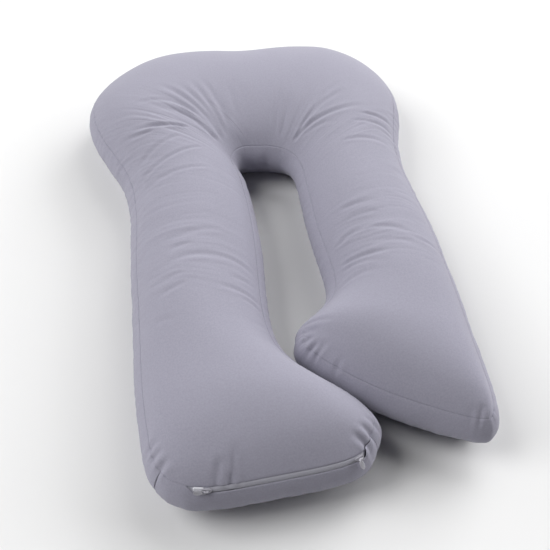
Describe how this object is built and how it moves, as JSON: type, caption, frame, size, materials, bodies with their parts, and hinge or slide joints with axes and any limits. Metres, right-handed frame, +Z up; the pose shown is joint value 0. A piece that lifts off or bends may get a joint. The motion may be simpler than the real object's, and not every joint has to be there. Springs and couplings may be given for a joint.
{
  "type": "body pillow",
  "caption": "Long U-shaped filled body pillow in soft brushed cloth, lying on its back, with a boxed side and a zip across one foot.",
  "frame": {"origin": "middle of the footprint, on the surface the pillow rests on", "axes": "+Y towards the head end, along the legs; +X towards the plain foot's leg; +Z up out of the top panel"},
  "size_m": [0.7709, 1.3325, 0.183],
  "materials": {
    "cloth": "soft brushed jersey, lavender grey, matt with a faint nap",
    "zip_tape": "woven zip tape, a little lighter than the cloth",
    "zip_teeth": "moulded coil, satin",
    "tape_end": "frayed white end of the zip tape",
    "zip_metal": "light grey enamelled zinc, satin"
  },
  "bodies": {
    "root": {"pillow_body": "cloth", "boxing_long": "cloth", "boxing_zip_foot": "cloth", "zip_tape": "zip_tape", "zip_teeth": "zip_teeth", "zip_tape_end": "tape_end", "zip_slider_left": "zip_metal", "zip_slider_right": "zip_metal", "zip_pull_left": "zip_metal", "zip_pull_right": "zip_metal"}
  },
  "joints": []
}
